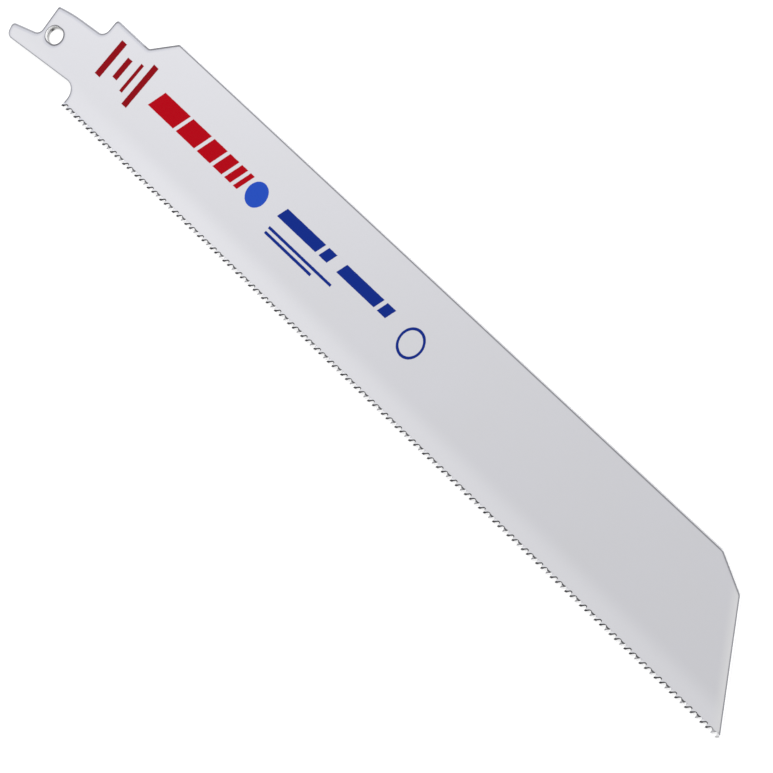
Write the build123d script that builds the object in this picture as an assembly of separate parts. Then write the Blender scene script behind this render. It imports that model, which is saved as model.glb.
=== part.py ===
from build123d import *

import os
from math import asin, atan2, cos, degrees, hypot, radians, sin, tan

# Reciprocating saw blade, one piece of flat steel strip, lying on its side.
# Millimetres. X runs along the blade towards the nose, Y from the teeth to the back, Z up.
# While it is built, X = 0 is the front of the heel and Y = 0 is the line of the tooth points.

# The strip
WIDTH = 25.4
THICKNESS = 1.07
RIM_CHAMFER = 0.18

# Teeth, 18 to the inch, pointing towards the tang, the first one just behind the front of the heel
FIRST_TOOTH_SETBACK = 0.22
TOOTHED_LENGTH = 204.35
PITCH = 25.4 / 18
TOOTH_DEPTH = 0.9
GULLET_RADIUS = 0.33
SET = 0.23

# Nose, cut back from the point on the tooth line and bevelled at the back
NOSE_ANGLE = 53.3
BEVEL_ANGLE = 24.0
BEVEL_DROP = 3.9
NOSE_CORNER_RADIUS = 1.0

# Shoulder between the back and the tang
SHOULDER_HEIGHT = 20.45
SHOULDER_SETBACK = 3.0
SHOULDER_LENGTH = 10.85
SHOULDER_CORNER_RADIUS = 0.7
SHOULDER_NOTCH_RADIUS = 1.75
RAMP_ANGLE = 43.0
RAMP_RADIUS = 1.0

# Heel, the round recess between the tang and the first tooth
HEEL_HEIGHT = 4.85
HEEL_RADIUS = 2.8

# Tang, canted so that the teeth lean into the work, with its lengths measured from the heel
TANG_CANT = 5.5
TANG_LENGTH = 15.82
TANG_WIDTH = 11.53
TANG_TAPER_LENGTH = 4.62
TANG_TAPER_ANGLE = 6.2
TANG_CROWN_RADIUS = 40.0
TANG_CORNER_RADIUS = 0.5

# Tail, the finger beyond the tang
TAIL_LENGTH = 7.4
TAIL_ROOT_WIDTH = 4.2
TAIL_END_WIDTH = 2.88
TAIL_SLANT = 0.54
TAIL_NOTCH_RADIUS = 1.4
TAIL_TOP_RADIUS = 0.8
TAIL_HEEL_RADIUS = 1.6

# Oblong drive hole, on the middle of the tang
HOLE_LENGTH = 4.5
HOLE_WIDTH = 3.6
HOLE_TO_TANG_END = 3.41
HOLE_CHAMFER = 0.06

# How far the trimming shapes reach past the steel
SPARE = 2 * THICKNESS


def tang_point(back, up):
    """A point of the tang: its distance back from the heel along the lower edge, and up from that edge."""
    cant = radians(TANG_CANT)
    x = -back * cos(cant) - up * sin(cant)
    y = HEEL_HEIGHT - back * sin(cant) + up * cos(cant)
    return x, y


def nose_point(height):
    """The point of the nose's slanted edge at a height above the tooth points."""
    return FIRST_TOOTH_SETBACK + TOOTHED_LENGTH - height / tan(radians(NOSE_ANGLE)), height


def rounded(face, corners):
    """The face with each listed corner (point, radius) rounded."""
    for point, radius in corners:
        corner = face.vertices().sort_by_distance((*point, 0))[0]
        face = fillet(corner, radius)
    return face


def outline(base):
    """The blade seen from above, from the back down to the height of its base line."""
    tail_low = tang_point(TANG_LENGTH + TAIL_LENGTH - TAIL_SLANT, 0)
    tail_high = tang_point(TANG_LENGTH + TAIL_LENGTH, TAIL_END_WIDTH)
    tail_notch = tang_point(TANG_LENGTH, TAIL_ROOT_WIDTH)
    tang_end_width = TANG_WIDTH - TANG_TAPER_LENGTH * tan(radians(TANG_TAPER_ANGLE))
    tang_corner = tang_point(TANG_LENGTH, tang_end_width)
    tang_crown = tang_point(TANG_LENGTH - TANG_TAPER_LENGTH, TANG_WIDTH)

    cant = radians(TANG_CANT)
    notch_height = HEEL_HEIGHT + SHOULDER_SETBACK * tan(-cant) + TANG_WIDTH / cos(cant)
    shoulder_notch = (-SHOULDER_SETBACK, notch_height)
    shoulder_corner = (-SHOULDER_SETBACK, SHOULDER_HEIGHT)
    ramp_foot = (SHOULDER_LENGTH - SHOULDER_SETBACK, SHOULDER_HEIGHT)
    ramp_rise = WIDTH - SHOULDER_HEIGHT
    ramp_head = (ramp_foot[0] + ramp_rise / tan(radians(RAMP_ANGLE)), WIDTH)

    nose_corner = nose_point(WIDTH - BEVEL_DROP)
    bevel_corner = (nose_corner[0] - BEVEL_DROP / tan(radians(BEVEL_ANGLE)), WIDTH)
    heel_corner = (0, HEEL_HEIGHT)

    face = make_face(
        Polyline(
            tail_low,
            tail_high,
            tail_notch,
            tang_corner,
            tang_crown,
            shoulder_notch,
            shoulder_corner,
            ramp_foot,
            ramp_head,
            bevel_corner,
            nose_corner,
            nose_point(base),
            (0, base),
            heel_corner,
            close=True,
        )
    )
    step = SHOULDER_HEIGHT - notch_height
    return rounded(
        face,
        [
            (tail_low, TAIL_HEEL_RADIUS),
            (tail_high, TAIL_TOP_RADIUS),
            (tail_notch, TAIL_NOTCH_RADIUS),
            (tang_corner, TANG_CORNER_RADIUS),
            (tang_crown, TANG_CROWN_RADIUS),
            (shoulder_notch, min(SHOULDER_NOTCH_RADIUS, step / 2)),
            (shoulder_corner, min(SHOULDER_CORNER_RADIUS, step / 3)),
            (ramp_foot, min(RAMP_RADIUS, ramp_rise)),
            (ramp_head, min(RAMP_RADIUS, ramp_rise)),
            (bevel_corner, NOSE_CORNER_RADIUS),
            (nose_corner, NOSE_CORNER_RADIUS),
            (heel_corner, HEEL_RADIUS),
        ],
    )


def tooth_profile():
    """One tooth from above: a square face at X = 0, a straight relief, and a half gullet on each side."""
    centre_x = PITCH - GULLET_RADIUS
    centre_y = TOOTH_DEPTH - GULLET_RADIUS
    relief = atan2(centre_y, centre_x) + asin(GULLET_RADIUS / hypot(centre_x, centre_y))
    relief_end = (
        centre_x - GULLET_RADIUS * sin(relief),
        centre_y + GULLET_RADIUS * cos(relief),
    )
    face_gullet = CenterArc((-GULLET_RADIUS, centre_y), GULLET_RADIUS, 0, 90)
    relief_gullet = CenterArc((centre_x, centre_y), GULLET_RADIUS, 90, degrees(relief))
    return make_face(
        [
            face_gullet,
            Line((0, centre_y), (0, 0)),
            Line((0, 0), relief_end),
            relief_gullet,
            Line((centre_x, TOOTH_DEPTH), (-GULLET_RADIUS, TOOTH_DEPTH)),
        ]
    )


def tooth(lean):
    """One tooth whose point stands off the strip by lean, bent along the line of the gullet bottoms."""
    past = 1 + SPARE / TOOTH_DEPTH
    section = make_face(
        Plane.YZ.offset(-PITCH)
        * Polyline(
            (TOOTH_DEPTH, 0),
            (TOOTH_DEPTH, THICKNESS),
            (-SPARE, THICKNESS + lean * past),
            (-SPARE, lean * past),
            close=True,
        )
    )
    leaning_strip = extrude(section, 3 * PITCH, dir=(1, 0, 0))
    upright = Pos(0, 0, -SPARE) * extrude(tooth_profile(), THICKNESS + 2 * SPARE)
    return upright & leaning_strip


def toothed_edge():
    """All the teeth in a raker set: one bent up, one straight, one bent down, and so on."""
    kinds = [tooth(SET), tooth(0), tooth(-SET)]
    root_end = nose_point(TOOTH_DEPTH)[0]
    count = int((root_end - FIRST_TOOTH_SETBACK) / PITCH) + 1
    teeth = [Pos(FIRST_TOOTH_SETBACK + i * PITCH, 0, 0) * kinds[i % len(kinds)] for i in range(count)]
    window = Pos(0, 0, -SPARE) * extrude(outline(-SPARE), THICKNESS + 2 * SPARE)
    teeth[0] = teeth[0] & window
    teeth[-1] = teeth[-1] & window
    return teeth


def drive_hole():
    """The oblong hole that the saw's pin goes through, in line with the tang."""
    centre = tang_point(TANG_LENGTH - HOLE_TO_TANG_END, TANG_WIDTH / 2)
    slot = SlotOverall(HOLE_LENGTH, HOLE_WIDTH, rotation=TANG_CANT)
    return Pos(*centre, -SPARE) * extrude(slot, THICKNESS + 2 * SPARE)


def plate():
    """The strip without its teeth, every rim slightly broken as on stamped and painted steel."""
    strip = extrude(outline(TOOTH_DEPTH), THICKNESS)
    rims = strip.edges().filter_by(Plane.XY)
    rims = rims.filter_by(lambda edge: edge.center().Y > TOOTH_DEPTH + RIM_CHAMFER)
    strip = chamfer(rims, RIM_CHAMFER)
    hole = drive_hole()
    pierced = strip - hole
    hole_rims = new_edges(strip, hole, combined=pierced).filter_by(Plane.XY)
    return chamfer(hole_rims, HOLE_CHAMFER)


def blade():
    """The whole blade, its origin moved to the middle of the underside of its box."""
    solid = plate() + toothed_edge()
    box = solid.bounding_box()
    return Pos(-box.center().X, -box.center().Y, -box.min.Z) * solid


os.makedirs("parts", exist_ok=True)
export_step(blade(), "parts/blade.step")
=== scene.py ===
from math import asin, atan2, cos, hypot, radians, sin, tan

import bpy
from mathutils import Matrix, Vector


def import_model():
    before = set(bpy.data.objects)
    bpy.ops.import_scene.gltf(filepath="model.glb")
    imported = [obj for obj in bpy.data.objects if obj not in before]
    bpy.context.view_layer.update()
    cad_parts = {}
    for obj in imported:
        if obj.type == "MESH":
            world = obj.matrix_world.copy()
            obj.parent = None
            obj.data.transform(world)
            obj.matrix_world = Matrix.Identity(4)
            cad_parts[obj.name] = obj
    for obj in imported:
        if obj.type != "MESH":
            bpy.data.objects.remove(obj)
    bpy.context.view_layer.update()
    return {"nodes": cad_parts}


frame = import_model()

# The looks of a reciprocating saw blade that lies flat on a white table.
# Places on the blade are in millimetres in the frame's own axes: X to the nose, Y to the back, Z up.
# The camera, the lamps and the size of the table are in metres.
# Each value that ends in EDGE is the edge of a mask: its level, and its softness on either side.
MM = 0.001

# Camera, at the photograph's viewing angle
CAMERA_TARGET = (0.012555, -0.00808, 0.0013)
CAMERA_DISTANCE = 0.8506
CAMERA_AZIMUTH = 9.24
CAMERA_ELEVATION = 56.78
CAMERA_ROLL = -57.17
CAMERA_LENS = 210.1
SENSOR_WIDTH = 36.0

# Light: a white world, a small lamp beyond the back at the tang's end, and a wide low one beyond the nose
WORLD_LEVEL = 0.55
KEY_PLACE = (-0.135, 0.15, 0.20)
KEY_AIM = (-0.21, 0.0, 0.0)
KEY_SIZE = (0.15, 0.15)
KEY_POWER = 0.342
FILL_PLACE = (1.10, 0.45, 0.17)
FILL_AIM = (0.05, 0.0, 0.0)
FILL_SIZE = (1.2, 0.24)
FILL_POWER = 10.5

# Colours, as linear red, green and blue
PAINT = (0.755, 0.755, 0.785)
PAINT_CLOUD = (0.765, 0.765, 0.815)
PAINT_BAND = (0.845, 0.845, 0.885)
PALE_PAINTED_HIGHLIGHT = (0.89, 0.89, 0.90)
COOL_PAINTED_SHADE = (0.56, 0.57, 0.65)
WORN_AND_SHADED_RIM = (0.16, 0.16, 0.18)
TOOTH_RIM = (0.012, 0.012, 0.014)
TOOTH_RIM_FAINT = (0.30, 0.30, 0.31)
HOLE_FOOT_SHADE = (0.012, 0.012, 0.012)
HOLE_WALL_PAINTED_LIGHT = (0.97, 0.97, 0.97)
BARE_STEEL = (0.93, 0.93, 0.94)
RED = (0.47, 0.001, 0.008)
DARK_RED = (0.28, 0.003, 0.008)
MID_BLUE = (0.022, 0.085, 0.55)
NAVY = (0.006, 0.028, 0.27)
WHITE = (1.0, 1.0, 1.0)

# The blade: its two faces, half its width, its nose and its tang
TOP_FACE = 1.30
UNDERSIDE = 0.23
HALF_WIDTH = 12.7
NOSE_TIP = 114.12
NOSE_ANGLE = 53.3
TANG_CANT = 5.5

# Teeth: the face of the first one, their pitch and depth, and the round of their gullets. They go in threes,
# one bent up, one straight, one bent down.
FIRST_TOOTH = -90.229
PITCH = 25.4 / 18
TOOTH_DEPTH = 0.9
GULLET_RADIUS = 0.33
ROOT_LINE = TOOTH_DEPTH - HALF_WIDTH

# Drive hole, oblong along the tang
HOLE_PLACE = (-103.35, -3.30)
HOLE_LENGTH = 4.5
HOLE_WIDTH = 3.6

# How much of the normal points up or down: more than the first on a face, less than the second on a wall, and
# between them on a broken rim
FACE_EDGE = (0.9, 0.03)
WALL_EDGE = (0.5, 0.05)

# Zones of the blade
UPPER_FACE_EDGE = (TOP_FACE - 0.1, 0.02)
SHANK_EDGE = (-84.0, 0.5)
TAIL_EDGE = (-107.5, 0.8)
TEETH_EDGE = (ROOT_LINE + 0.1, 0.08)
HOLE_RIM_EDGE = (0.5, 0.1)

# Paint: faint clouds and a lighter band along the teeth that fades on the shank, a painted highlight on a
# paler strip along the nose, and painted shade in a darker, cooler strip inside the rims of the shank
CLOUD_SIZE = 14.0
BAND_EDGE = (-8.3, 2.2)
BAND_FADE_EDGE = (-70.0, 25.0)
BAND_ON_SHANK = 0.4
NOSE_HIGHLIGHT_EDGE = (1.0, 1.5)
SHANK_SHADE_REACH = 1.0
SHANK_SHADE_AWAY_FROM = (0.55, -0.50, 0.67)
SHANK_SHADE_EDGE = (0.88, 0.12)
SHANK_SHADE_ZONE_EDGE = (-78.0, 3.0)
SHANK_SHADE_STRENGTH = 0.5

# Print: the middle, length and height of each bar and line, and the middle and radius of each round
RED_ROW_START = -73.0
RED_ROW_MIDDLE = 1.6
RED_BAR_LENGTHS = (8.6, 6.2, 4.4, 3.0, 2.0, 1.3)
RED_BAR_HEIGHT = 4.2
RED_BAR_GAP = 0.9
DARK_RED_LINES = (
    (-88.3, 1.1, 1.7, 8.6),
    (-84.4, 1.2, 1.5, 5.0),
    (-81.1, 1.1, 0.9, 7.0),
    (-78.2, 1.1, 1.6, 10.2),
)
BLUE_DISC = (-39.2, 1.4, 2.7)
NAVY_BARS = (
    (-25.6, 2.35, 12.4, 2.5),
    (-17.1, 2.35, 2.6, 2.5),
    (-6.8, 2.35, 11.8, 2.5),
    (1.4, 2.35, 2.6, 2.5),
)
NAVY_LINES = ((-22.0, -1.55, 20.0, 0.6), (-24.6, -2.75, 14.8, 0.6))
NAVY_RING = (10.4, 1.0, 2.9)
NAVY_RING_LINE = 0.6
BAR_SLANT = 0.35
INK_EDGE = (0.0, 0.05)
INK_GRAIN = 0.35
INK_RAGGEDNESS = 0.12

# Worn paint and painted shade on the broken rims, from 0 to 1: on the blade, on the shank, towards the teeth,
# on the back, at the drive hole, and on the hole's side towards the teeth
RIM_WEAR_AND_SHADE = 0.9
SHANK_RIM_WEAR_AND_SHADE = 0.45
TOOTHWARD_RIM_WEAR_AND_SHADE = 0.27
BACK_RIM_WEAR_AND_SHADE = 0.05
HOLE_RIM_WEAR_AND_SHADE = 0.95
HOLE_TOOTHWARD_WEAR_AND_SHADE = 0.3
TOOTHWARD_EDGE = (-0.45, 0.1)
HOLE_TOOTHWARD_EDGE = (0.3, 0.1)
BACK_RIM_EDGE = (HALF_WIDTH - 0.22, 0.03)

# Painted shade on the face just inside the rims, and on a line inside the back
INNER_SHADE_REACH = 0.65
INNER_SHADE_AWAY_FROM = (0.66, -0.20, 0.72)
INNER_SHADE_EDGE = (0.74, 0.16)
SHANK_INNER_SHADE = 0.88
TAIL_INNER_SHADE = 0.7
BACK_LINE_EDGE = (HALF_WIDTH - 0.42, 0.12)
BACK_LINE = 0.8

# Drive hole: painted shade on its rim in front and round its foot, and where it and the table's shade are
# darkest
HOLE_SHADE_SHIFT = 0.12
HOLE_SHADE_EDGE = (0.23, 0.07)
HOLE_RIM_SHADE = 0.9
FOOT_SHADE_EDGE = (UNDERSIDE + 0.22, 0.06)
DARK_SPOT = (-105.45, -2.9, 0.35)
DARK_SPOT_EDGE = (0.0, 0.4)
DARKNESS_ELSEWHERE = 0.5

# Dark lines on the teeth. A span lies between two edges along a group of three teeth, counted from the face
# of the first. The clean gullet is the one in front of the tooth that is bent down.
LINE_WIDTH = 0.20
BENT_LINE_WIDTH = 0.14
POINT_LINE_WIDTH = 0.36
LINE_EDGE = (0.0, 0.07)
LINES_TOP_EDGE = (ROOT_LINE + 0.4, 0.05)
TIP_EDGE = (0.12 - HALF_WIDTH, 0.04)
POINT_EDGE = (0.42 - HALF_WIDTH, 0.22)
TOE_EDGE = (111.4, 0.8)
TOE_LINE = 0.35
NEXT_FACE_EDGE = (0.14, 0.12)
NEXT_FACE_LINE = 0.95
BEFORE_BENT = ((2.15, 0.15), (3.0, 0.1))
CLEAN_GULLET = ((3.72, 0.06), (4.20, 0.03))
BENT_DOWN_EDGE = (-0.12, 0.05)
BENT_DOWN_LINE = 0.8
BEND_HEIGHT = ROOT_LINE - 0.10
BEND_EDGE = (0.16, 0.05)
BEND_SPAN = ((2.45, 0.15), (3.72, 0.06))
BEND_LINE = 0.85
WALL_LINE_DEPTH = 0.15
POINT_WALL_LINE_DEPTH = 0.4
WALL_LINE_EDGE = (0.0, 0.08)
WALL_LINE_FACING_EDGE = (-0.25, 0.1)
WALL_LINE_END_EDGE = (2.8, 0.1)

# Surface of the paint, of the ink and of the bare steel
PAINT_ROUGHNESS = 0.42
INK_ROUGHNESS = 0.36
PAINT_SPECULAR = 0.2
INK_SPECULAR = 0.05
STEEL_METALLIC = 0.9
GRAIN_SIZE = 0.8
GRAIN_HEIGHT = 0.02
GRAIN_STRENGTH = 0.3

# Table, with the shade that lies on it under the rim of the drive hole
TABLE_SIZE = 6.0
TABLE_COLOUR = (0.45, 0.45, 0.45)
TABLE_GLOW = 0.76
TABLE_ROUGHNESS = 0.6
SHADE_COLOUR = (0.04, 0.04, 0.04)
SHADE_SHIFT = (0.15, -0.05)
SHADE_EDGE = (-0.15, 0.15)
SHADE_END_EDGE = (0.6, 0.1)


class Nodes:
    """Short calls that build the nodes of one material."""

    # The mix node has a pair of inputs for each kind of value
    NUMBER_PAIR = (2, 3)
    COLOUR_PAIR = (6, 7)

    def __init__(self, name):
        self.material = bpy.data.materials.new(name)
        self.material.use_nodes = True
        self.tree = self.material.node_tree
        self.shader = self.tree.nodes["Principled BSDF"]

    def add(self, kind, **settings):
        node = self.tree.nodes.new(kind)
        for name, value in settings.items():
            setattr(node, name, value)
        return node

    def feed(self, socket, value):
        """A socket gets either a link from another socket or a plain value."""
        if isinstance(value, bpy.types.NodeSocket):
            self.tree.links.new(value, socket)
        elif isinstance(value, tuple) and len(value) == 3 and len(socket.default_value) == 4:
            socket.default_value = (*value, 1)
        else:
            socket.default_value = value

    def math(self, operation, *values):
        node = self.add("ShaderNodeMath", operation=operation)
        for socket, value in zip(node.inputs, values):
            self.feed(socket, value)
        return node.outputs[0]

    def product(self, values):
        result = values[0]
        for value in values[1:]:
            result = self.math("MULTIPLY", result, value)
        return result

    def union(self, masks):
        result = masks[0]
        for mask in masks[1:]:
            result = self.math("MAXIMUM", result, mask)
        return result

    def hypot(self, first, second):
        squares = [self.math("MULTIPLY", part, part) for part in (first, second)]
        return self.math("SQRT", self.math("ADD", *squares))

    def above(self, value, level, softness):
        """1 where the value is above the level, 0 below it, with a soft change between."""
        node = self.add("ShaderNodeMapRange", interpolation_type="SMOOTHSTEP")
        self.feed(node.inputs["Value"], value)
        node.inputs["From Min"].default_value = level - softness
        node.inputs["From Max"].default_value = level + softness
        return node.outputs["Result"]

    def below(self, value, level, softness):
        return self.math("SUBTRACT", 1.0, self.above(value, level, softness))

    def between(self, value, low_edge, high_edge):
        return self.math("MULTIPLY", self.above(value, *low_edge), self.below(value, *high_edge))

    def mix(self, factor, first, second):
        """The first colour where the factor is 0, the second where it is 1."""
        node = self.add("ShaderNodeMix", data_type="RGBA")
        self.feed(node.inputs["Factor"], factor)
        for index, value in zip(self.COLOUR_PAIR, (first, second)):
            self.feed(node.inputs[index], value)
        return node.outputs[2]

    def blend(self, factor, first, second):
        """The same for two numbers."""
        node = self.add("ShaderNodeMix", data_type="FLOAT")
        self.feed(node.inputs["Factor"], factor)
        for index, value in zip(self.NUMBER_PAIR, (first, second)):
            self.feed(node.inputs[index], value)
        return node.outputs[0]

    def noise(self, place, size, detail):
        """Soft noise around 0.5, with blotches of a size in the place's own unit."""
        node = self.add("ShaderNodeTexNoise")
        self.feed(node.inputs["Vector"], place)
        node.inputs["Scale"].default_value = 1 / size
        node.inputs["Detail"].default_value = detail
        return node.outputs["Fac"]

    def solid_round(self, reach, away):
        """How solid the space just below the surface is, felt away from a direction: less near an edge."""
        node = self.add("ShaderNodeAmbientOcclusion", inside=True, only_local=True, samples=16)
        node.inputs["Distance"].default_value = reach * MM
        direction = self.add("ShaderNodeVectorMath", operation="NORMALIZE")
        direction.inputs[0].default_value = away
        self.feed(node.inputs["Normal"], direction.outputs[0])
        return node.outputs["AO"]


class Place:
    """Where a point of the surface is, in millimetres, and which way it faces."""

    def __init__(self, nodes):
        self.nodes = nodes
        coordinates = nodes.add("ShaderNodeTexCoord")
        scale = nodes.add("ShaderNodeVectorMath", operation="SCALE")
        nodes.feed(scale.inputs[0], coordinates.outputs["Object"])
        scale.inputs["Scale"].default_value = 1 / MM
        self.point = scale.outputs[0]
        split = nodes.add("ShaderNodeSeparateXYZ")
        nodes.feed(split.inputs[0], self.point)
        self.x, self.y, self.z = split.outputs
        facing = nodes.add("ShaderNodeSeparateXYZ")
        nodes.feed(facing.inputs[0], nodes.add("ShaderNodeNewGeometry").outputs["True Normal"])
        self.backward = facing.outputs[1]
        self.flatness = nodes.math("ABSOLUTE", facing.outputs[2])

    # Masks of the blade's surfaces

    def on_face(self):
        return self.nodes.above(self.flatness, *FACE_EDGE)

    def on_broken_rim(self):
        return self.nodes.between(self.flatness, WALL_EDGE, FACE_EDGE)

    def on_wall(self):
        return self.nodes.below(self.flatness, *WALL_EDGE)

    def on_upper_face(self):
        return self.nodes.above(self.z, *UPPER_FACE_EDGE)

    def in_teeth(self):
        return self.nodes.below(self.y, *TEETH_EDGE)

    def on_tooth_wall(self):
        return self.nodes.math("MULTIPLY", self.in_teeth(), self.on_wall())

    def at_hole(self):
        return self.nodes.below(self.from_hole(), *HOLE_RIM_EDGE)

    def hole_darkness(self):
        """How dark the painted shade round the foot of the drive hole and on the table under it is: 1 at the
        dark spot, less elsewhere.
        """
        at_spot = self.nodes.below(self.from_disc(*DARK_SPOT), *DARK_SPOT_EDGE)
        return self.nodes.blend(at_spot, DARKNESS_ELSEWHERE, 1.0)

    # Distances

    def turned(self, x, y, angle):
        """Two coordinates on axes turned by an angle: along them and across them."""
        nodes = self.nodes
        c, s = cos(angle), sin(angle)
        along = nodes.math("ADD", nodes.math("MULTIPLY", x, c), nodes.math("MULTIPLY", y, s))
        across = nodes.math("SUBTRACT", nodes.math("MULTIPLY", y, c), nodes.math("MULTIPLY", x, s))
        return along, across

    def from_span(self, value, middle, length):
        """How far a coordinate is outside a span: negative within it."""
        nodes = self.nodes
        off = nodes.math("ABSOLUTE", nodes.math("SUBTRACT", value, middle))
        return nodes.math("SUBTRACT", off, length / 2)

    def from_bar(self, x, y, length, height, slant=0.0):
        """Distance outside a bar round a middle point, its ends slanted by a share of the height."""
        nodes = self.nodes
        shift = nodes.math("MULTIPLY", nodes.math("SUBTRACT", self.y, y), slant)
        along = self.from_span(nodes.math("SUBTRACT", self.x, shift), x, length)
        across = self.from_span(self.y, y, height)
        return nodes.math("MAXIMUM", along, across)

    def from_disc(self, x, y, radius):
        nodes = self.nodes
        off = nodes.hypot(nodes.math("SUBTRACT", self.x, x), nodes.math("SUBTRACT", self.y, y))
        return nodes.math("SUBTRACT", off, radius)

    def from_hole(self, shift_x=0.0, shift_y=0.0):
        """Distance outside the drive hole, or outside a copy of it that is shifted."""
        nodes = self.nodes
        off_x = nodes.math("SUBTRACT", self.x, HOLE_PLACE[0] + shift_x)
        off_y = nodes.math("SUBTRACT", self.y, HOLE_PLACE[1] + shift_y)
        along, across = self.turned(off_x, off_y, radians(TANG_CANT))
        past = nodes.math("SUBTRACT", nodes.math("ABSOLUTE", along), (HOLE_LENGTH - HOLE_WIDTH) / 2)
        off = nodes.hypot(nodes.math("MAXIMUM", past, 0.0), across)
        return nodes.math("SUBTRACT", off, HOLE_WIDTH / 2)

    def from_nose(self):
        """Distance back from the slanted edge of the nose."""
        nodes = self.nodes
        aloft = nodes.math("ADD", self.y, HALF_WIDTH)
        slant = nodes.math("DIVIDE", aloft, tan(radians(NOSE_ANGLE)))
        back = nodes.math("SUBTRACT", nodes.math("SUBTRACT", NOSE_TIP, self.x), slant)
        return nodes.math("MULTIPLY", back, sin(radians(NOSE_ANGLE)))

    def from_tooth(self, count):
        """How far past a tooth's face a point is, where only every so many teeth count."""
        nodes = self.nodes
        return nodes.math("FLOORED_MODULO", nodes.math("SUBTRACT", self.x, FIRST_TOOTH), count * PITCH)

    def past_gullet(self):
        """How far past the middle of its gullet a point is, towards the nose."""
        return self.nodes.math("SUBTRACT", self.from_tooth(1), PITCH - GULLET_RADIUS)

    def from_gullet(self):
        """Distance into the steel from the rim of the gullet: a round, with the tooth's relief below it."""
        nodes = self.nodes
        middle_x = PITCH - GULLET_RADIUS
        middle_y = TOOTH_DEPTH - GULLET_RADIUS
        relief = atan2(middle_y, middle_x) + asin(GULLET_RADIUS / hypot(middle_x, middle_y))
        ahead = self.past_gullet()
        aloft = nodes.math("SUBTRACT", self.y, middle_y - HALF_WIDTH)
        past, off = self.turned(ahead, aloft, relief)
        above_relief = nodes.hypot(nodes.math("MAXIMUM", off, 0.0), nodes.math("MAXIMUM", past, 0.0))
        return nodes.math("SUBTRACT", nodes.math("MAXIMUM", above_relief, ahead), GULLET_RADIUS)


def red_bars(place):
    """A row of slanted bars that get shorter towards the nose."""
    start = RED_ROW_START
    bars = []
    for length in RED_BAR_LENGTHS:
        middle = start + length / 2
        bars.append(place.from_bar(middle, RED_ROW_MIDDLE, length, RED_BAR_HEIGHT, BAR_SLANT))
        start += length + RED_BAR_GAP
    return bars


def dark_red_lines(place):
    """Four short lines across the shank, of several lengths."""
    return [place.from_bar(*line) for line in DARK_RED_LINES]


def navy_shapes(place):
    """Two slanted bars with a short one after each, two thin lines and a ring."""
    nodes = place.nodes
    bars = [place.from_bar(*bar, BAR_SLANT) for bar in NAVY_BARS]
    lines = [place.from_bar(*line) for line in NAVY_LINES]
    off_ring = nodes.math("ABSOLUTE", place.from_disc(*NAVY_RING))
    return bars + lines + [nodes.math("SUBTRACT", off_ring, NAVY_RING_LINE / 2)]


def ink_mask(place, distances):
    """1 inside any of the shapes given by their distances, with slightly ragged edges."""
    nodes = place.nodes
    grain = nodes.math("SUBTRACT", nodes.noise(place.point, INK_GRAIN, detail=2.0), 0.5)
    ragged = nodes.math("MULTIPLY", grain, INK_RAGGEDNESS)
    masks = [nodes.below(nodes.math("ADD", distance, ragged), *INK_EDGE) for distance in distances]
    return nodes.union(masks)


def paint(place):
    """The paint's colour, with painted highlight and painted shade, before it is printed on and its rims
    darkened.
    """
    nodes = place.nodes
    colour = nodes.mix(nodes.noise(place.point, CLOUD_SIZE, detail=3.0), PAINT, PAINT_CLOUD)
    fade = nodes.blend(nodes.above(place.x, *BAND_FADE_EDGE), BAND_ON_SHANK, 1.0)
    band = nodes.math("MULTIPLY", nodes.below(place.y, *BAND_EDGE), fade)
    colour = nodes.mix(band, colour, PAINT_BAND)
    # Painted highlight: a paler strip along the nose
    colour = nodes.mix(nodes.below(place.from_nose(), *NOSE_HIGHLIGHT_EDGE), colour, PALE_PAINTED_HIGHLIGHT)
    # Painted shade: darker, cooler paint just inside the rims of the shank
    near_rim = nodes.below(nodes.solid_round(SHANK_SHADE_REACH, SHANK_SHADE_AWAY_FROM), *SHANK_SHADE_EDGE)
    shank_shade = nodes.product([near_rim, nodes.below(place.x, *SHANK_SHADE_ZONE_EDGE), SHANK_SHADE_STRENGTH])
    colour = nodes.mix(shank_shade, colour, COOL_PAINTED_SHADE)
    # Painted highlight: the walls paler than the face, as if lit
    return nodes.mix(place.on_wall(), colour, PALE_PAINTED_HIGHLIGHT)


def with_print(place, colour):
    """The colour with the print on the upper face, and the mask of all the ink."""
    nodes = place.nodes
    inks = [
        (red_bars(place), RED),
        (dark_red_lines(place), DARK_RED),
        ([place.from_disc(*BLUE_DISC)], MID_BLUE),
        (navy_shapes(place), NAVY),
    ]
    upper = place.on_upper_face()
    masks = []
    for shapes, ink in inks:
        mask = nodes.math("MULTIPLY", ink_mask(place, shapes), upper)
        colour = nodes.mix(mask, colour, ink)
        masks.append(mask)
    return colour, nodes.union(masks)


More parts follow.
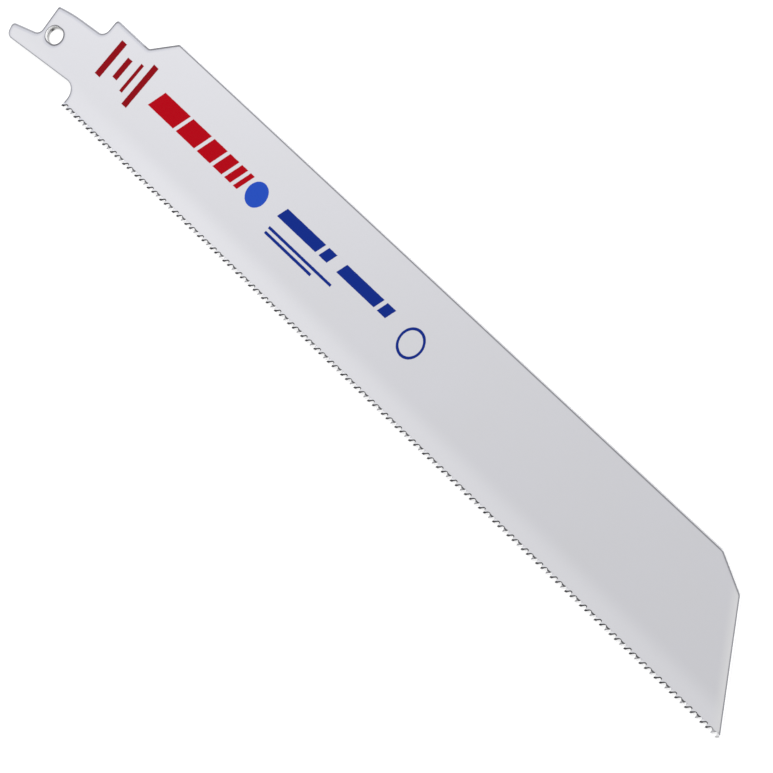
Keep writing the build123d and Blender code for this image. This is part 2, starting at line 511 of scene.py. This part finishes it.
def with_worn_and_shaded_rims(place, colour):
    """The colour with worn paint and painted shade on the broken rims, and painted shade just inside them.

    It is darkest on the blade, and lighter on the shank and towards the teeth. On the back, a line of painted
    shade inside the rim is darkened instead.
    """
    nodes = place.nodes
    # Worn paint and painted shade on the broken rims, less towards the teeth and on the back
    on_shank = nodes.below(place.x, *SHANK_EDGE)
    strength = nodes.blend(on_shank, RIM_WEAR_AND_SHADE, SHANK_RIM_WEAR_AND_SHADE)
    strength = nodes.blend(nodes.below(place.backward, *TOOTHWARD_EDGE), strength, TOOTHWARD_RIM_WEAR_AND_SHADE)
    toothward_in_hole = nodes.above(place.backward, *HOLE_TOOTHWARD_EDGE)
    hole_strength = nodes.blend(toothward_in_hole, HOLE_RIM_WEAR_AND_SHADE, HOLE_TOOTHWARD_WEAR_AND_SHADE)
    strength = nodes.blend(place.at_hole(), strength, hole_strength)
    strength = nodes.blend(nodes.above(place.y, *BACK_RIM_EDGE), strength, BACK_RIM_WEAR_AND_SHADE)
    worn_and_shaded = nodes.math("MULTIPLY", place.on_broken_rim(), strength)

    # Painted shade on the face just inside the rims, and on a line inside the back
    near_rim = nodes.below(nodes.solid_round(INNER_SHADE_REACH, INNER_SHADE_AWAY_FROM), *INNER_SHADE_EDGE)
    inner_shade = nodes.blend(on_shank, 1.0, SHANK_INNER_SHADE)
    inner_shade = nodes.blend(nodes.below(place.x, *TAIL_EDGE), inner_shade, TAIL_INNER_SHADE)
    shaded_inside = nodes.product([near_rim, nodes.math("SUBTRACT", place.on_face(), place.in_teeth()), inner_shade])
    back_line = nodes.product([nodes.above(place.y, *BACK_LINE_EDGE), place.on_face(), BACK_LINE])
    return nodes.mix(nodes.union([worn_and_shaded, shaded_inside, back_line]), colour, WORN_AND_SHADED_RIM)


def with_drive_hole(place, colour):
    """The colour with painted shade on the hole's front rim and round its foot, and painted light on its
    white wall.
    """
    nodes = place.nodes
    # Painted shade on the hole's rim in front
    in_front = nodes.below(place.from_hole(HOLE_SHADE_SHIFT), *HOLE_SHADE_EDGE)
    colour = nodes.mix(nodes.product([in_front, place.on_upper_face(), HOLE_RIM_SHADE]), colour, WORN_AND_SHADED_RIM)
    # Painted light: the hole's wall whiter than the paint
    wall = nodes.math("MULTIPLY", place.at_hole(), place.on_wall())
    colour = nodes.mix(wall, colour, HOLE_WALL_PAINTED_LIGHT)
    # Painted shade round the foot of the hole's wall
    foot_shade = nodes.product([wall, nodes.below(place.z, *FOOT_SHADE_EDGE), place.hole_darkness()])
    return nodes.mix(foot_shade, colour, HOLE_FOOT_SHADE)


def with_tooth_lines(place, colour):
    """The colour with dark lines on the teeth, which stop short of the very tips and are faint at the toe."""
    nodes = place.nodes
    in_three = place.from_tooth(3)
    at_point = nodes.below(place.y, *POINT_EDGE)
    off_tip = nodes.above(place.y, *TIP_EDGE)
    off_toe = nodes.blend(nodes.above(place.x, *TOE_EDGE), 1.0, TOE_LINE)
    on_teeth = nodes.product([nodes.below(place.y, *LINES_TOP_EDGE), place.on_face(), off_tip, off_toe])

    # Along each relief and round its gullet, except round the gullet in front of a tooth bent down
    width = nodes.blend(nodes.between(in_three, *BEFORE_BENT), LINE_WIDTH, BENT_LINE_WIDTH)
    width = nodes.blend(at_point, width, POINT_LINE_WIDTH)
    line = nodes.below(nodes.math("SUBTRACT", place.from_gullet(), width), *LINE_EDGE)
    by_next_face = nodes.blend(nodes.above(place.past_gullet(), *NEXT_FACE_EDGE), 1.0, NEXT_FACE_LINE)
    off_clean = nodes.math("SUBTRACT", 1.0, nodes.between(in_three, *CLEAN_GULLET))
    bent_down = nodes.below(place.backward, *BENT_DOWN_EDGE)
    on_bent = nodes.blend(bent_down, 1.0, BENT_DOWN_LINE)
    line = nodes.product([line, by_next_face, off_clean, on_bent, on_teeth])
    colour = nodes.mix(line, colour, nodes.mix(bent_down, TOOTH_RIM, TOOTH_RIM_FAINT))

    # Along the bend of each tooth bent down
    off_bend = nodes.math("ABSOLUTE", nodes.math("SUBTRACT", place.y, BEND_HEIGHT))
    at_bent = nodes.between(in_three, *BEND_SPAN)
    bend = nodes.product([nodes.below(off_bend, *BEND_EDGE), at_bent, on_teeth, BEND_LINE])
    colour = nodes.mix(bend, colour, TOOTH_RIM)

    # Along the top of the relief's wall, deeper at the point, except on a tooth bent down
    foot = nodes.blend(at_point, TOP_FACE - WALL_LINE_DEPTH, TOP_FACE - POINT_WALL_LINE_DEPTH)
    wall_line = nodes.above(nodes.math("SUBTRACT", place.z, foot), *WALL_LINE_EDGE)
    on_relief = nodes.below(place.backward, *WALL_LINE_FACING_EDGE)
    off_bent = nodes.below(in_three, *WALL_LINE_END_EDGE)
    wall_line = nodes.product([wall_line, place.on_tooth_wall(), on_relief, off_tip, off_toe, off_bent])
    return nodes.mix(wall_line, colour, TOOTH_RIM)


def painted_steel():
    """White satin paint over steel: printed, ground off the teeth's walls, worn at the rims, with painted
    light and shade.
    """
    nodes = Nodes("painted_steel_look")
    place = Place(nodes)
    colour, inked = with_print(place, paint(place))
    bare = place.on_tooth_wall()
    colour = nodes.mix(bare, colour, BARE_STEEL)
    colour = with_worn_and_shaded_rims(place, colour)
    colour = with_drive_hole(place, colour)
    colour = with_tooth_lines(place, colour)

    bump = nodes.add("ShaderNodeBump")
    bump.inputs["Distance"].default_value = GRAIN_HEIGHT * MM
    bump.inputs["Strength"].default_value = GRAIN_STRENGTH
    nodes.feed(bump.inputs["Height"], nodes.noise(place.point, GRAIN_SIZE, detail=3.0))
    sockets = nodes.shader.inputs
    nodes.feed(sockets["Normal"], bump.outputs[0])
    nodes.feed(sockets["Base Color"], colour)
    nodes.feed(sockets["Roughness"], nodes.blend(inked, PAINT_ROUGHNESS, INK_ROUGHNESS))
    nodes.feed(sockets["Metallic"], nodes.math("MULTIPLY", bare, STEEL_METALLIC))
    nodes.feed(sockets["Specular IOR Level"], nodes.blend(inked, PAINT_SPECULAR, INK_SPECULAR))
    return nodes.material


def table():
    """A white table that keeps the blade's shadow and shows white to the camera, dim under the hole's rim."""
    bpy.ops.mesh.primitive_plane_add(size=TABLE_SIZE, location=(0, 0, 0))
    plane = bpy.context.object
    plane.name = "table"
    nodes = Nodes("white_table")
    place = Place(nodes)
    under_rim = nodes.above(place.from_hole(*SHADE_SHIFT), *SHADE_EDGE)
    in_hole = nodes.below(place.from_hole(), *SHADE_END_EDGE)
    shade = nodes.product([under_rim, in_hole, place.hole_darkness()])
    path = nodes.add("ShaderNodeLightPath")
    seen = nodes.math("MAXIMUM", path.outputs["Is Camera Ray"], path.outputs["Is Glossy Ray"])
    glow = nodes.math("MULTIPLY", seen, nodes.blend(shade, TABLE_GLOW, 0.0))
    sockets = nodes.shader.inputs
    nodes.feed(sockets["Base Color"], nodes.mix(shade, TABLE_COLOUR, SHADE_COLOUR))
    nodes.feed(sockets["Roughness"], TABLE_ROUGHNESS)
    nodes.feed(sockets["Emission Color"], WHITE)
    nodes.feed(sockets["Emission Strength"], glow)
    plane.data.materials.append(nodes.material)


def world():
    """A white world: white to the camera and in reflections, and a plain level of light elsewhere."""
    sky = bpy.data.worlds.new("studio")
    bpy.context.scene.world = sky
    sky.use_nodes = True
    tree = sky.node_tree
    background = tree.nodes["Background"]
    background.inputs["Color"].default_value = (*WHITE, 1)
    path = tree.nodes.new("ShaderNodeLightPath")
    seen = tree.nodes.new("ShaderNodeMath")
    seen.operation = "MAXIMUM"
    tree.links.new(path.outputs["Is Camera Ray"], seen.inputs[0])
    tree.links.new(path.outputs["Is Glossy Ray"], seen.inputs[1])
    level = tree.nodes.new("ShaderNodeMapRange")
    tree.links.new(seen.outputs[0], level.inputs["Value"])
    level.inputs["To Min"].default_value = WORLD_LEVEL
    level.inputs["To Max"].default_value = 1.0
    tree.links.new(level.outputs["Result"], background.inputs["Strength"])


def lamp(name, place, aim, power, size):
    """A soft rectangular lamp that shines from a place to a point."""
    data = bpy.data.lights.new(name, "AREA")
    data.shape = "RECTANGLE"
    data.size, data.size_y = size
    data.energy = power
    item = bpy.data.objects.new(name, data)
    bpy.context.scene.collection.objects.link(item)
    item.location = place
    item.rotation_euler = (Vector(aim) - Vector(place)).to_track_quat("-Z", "Y").to_euler()


def camera():
    """The camera, turned about its target by azimuth and elevation, and about its own axis by roll."""
    data = bpy.data.cameras.new("camera")
    data.lens = CAMERA_LENS
    data.sensor_width = SENSOR_WIDTH
    item = bpy.data.objects.new("camera", data)
    bpy.context.scene.collection.objects.link(item)
    azimuth, elevation, roll = (radians(angle) for angle in (CAMERA_AZIMUTH, CAMERA_ELEVATION, CAMERA_ROLL))
    back = Vector((cos(elevation) * cos(azimuth), cos(elevation) * sin(azimuth), sin(elevation)))
    level_right = Vector((0, 0, 1)).cross(back).normalized()
    level_up = back.cross(level_right)
    right = level_right * cos(roll) + level_up * sin(roll)
    up = level_up * cos(roll) - level_right * sin(roll)
    turn = Matrix((right, up, back)).transposed().to_4x4()
    item.matrix_world = Matrix.Translation(Vector(CAMERA_TARGET) + back * CAMERA_DISTANCE) @ turn
    bpy.context.scene.camera = item


blade = frame["nodes"]["blade"]
blade.material_slots[0].material = painted_steel()
table()
world()
lamp("key", KEY_PLACE, KEY_AIM, KEY_POWER, KEY_SIZE)
lamp("fill", FILL_PLACE, FILL_AIM, FILL_POWER, FILL_SIZE)
camera()
bpy.context.scene.view_settings.view_transform = "Standard"
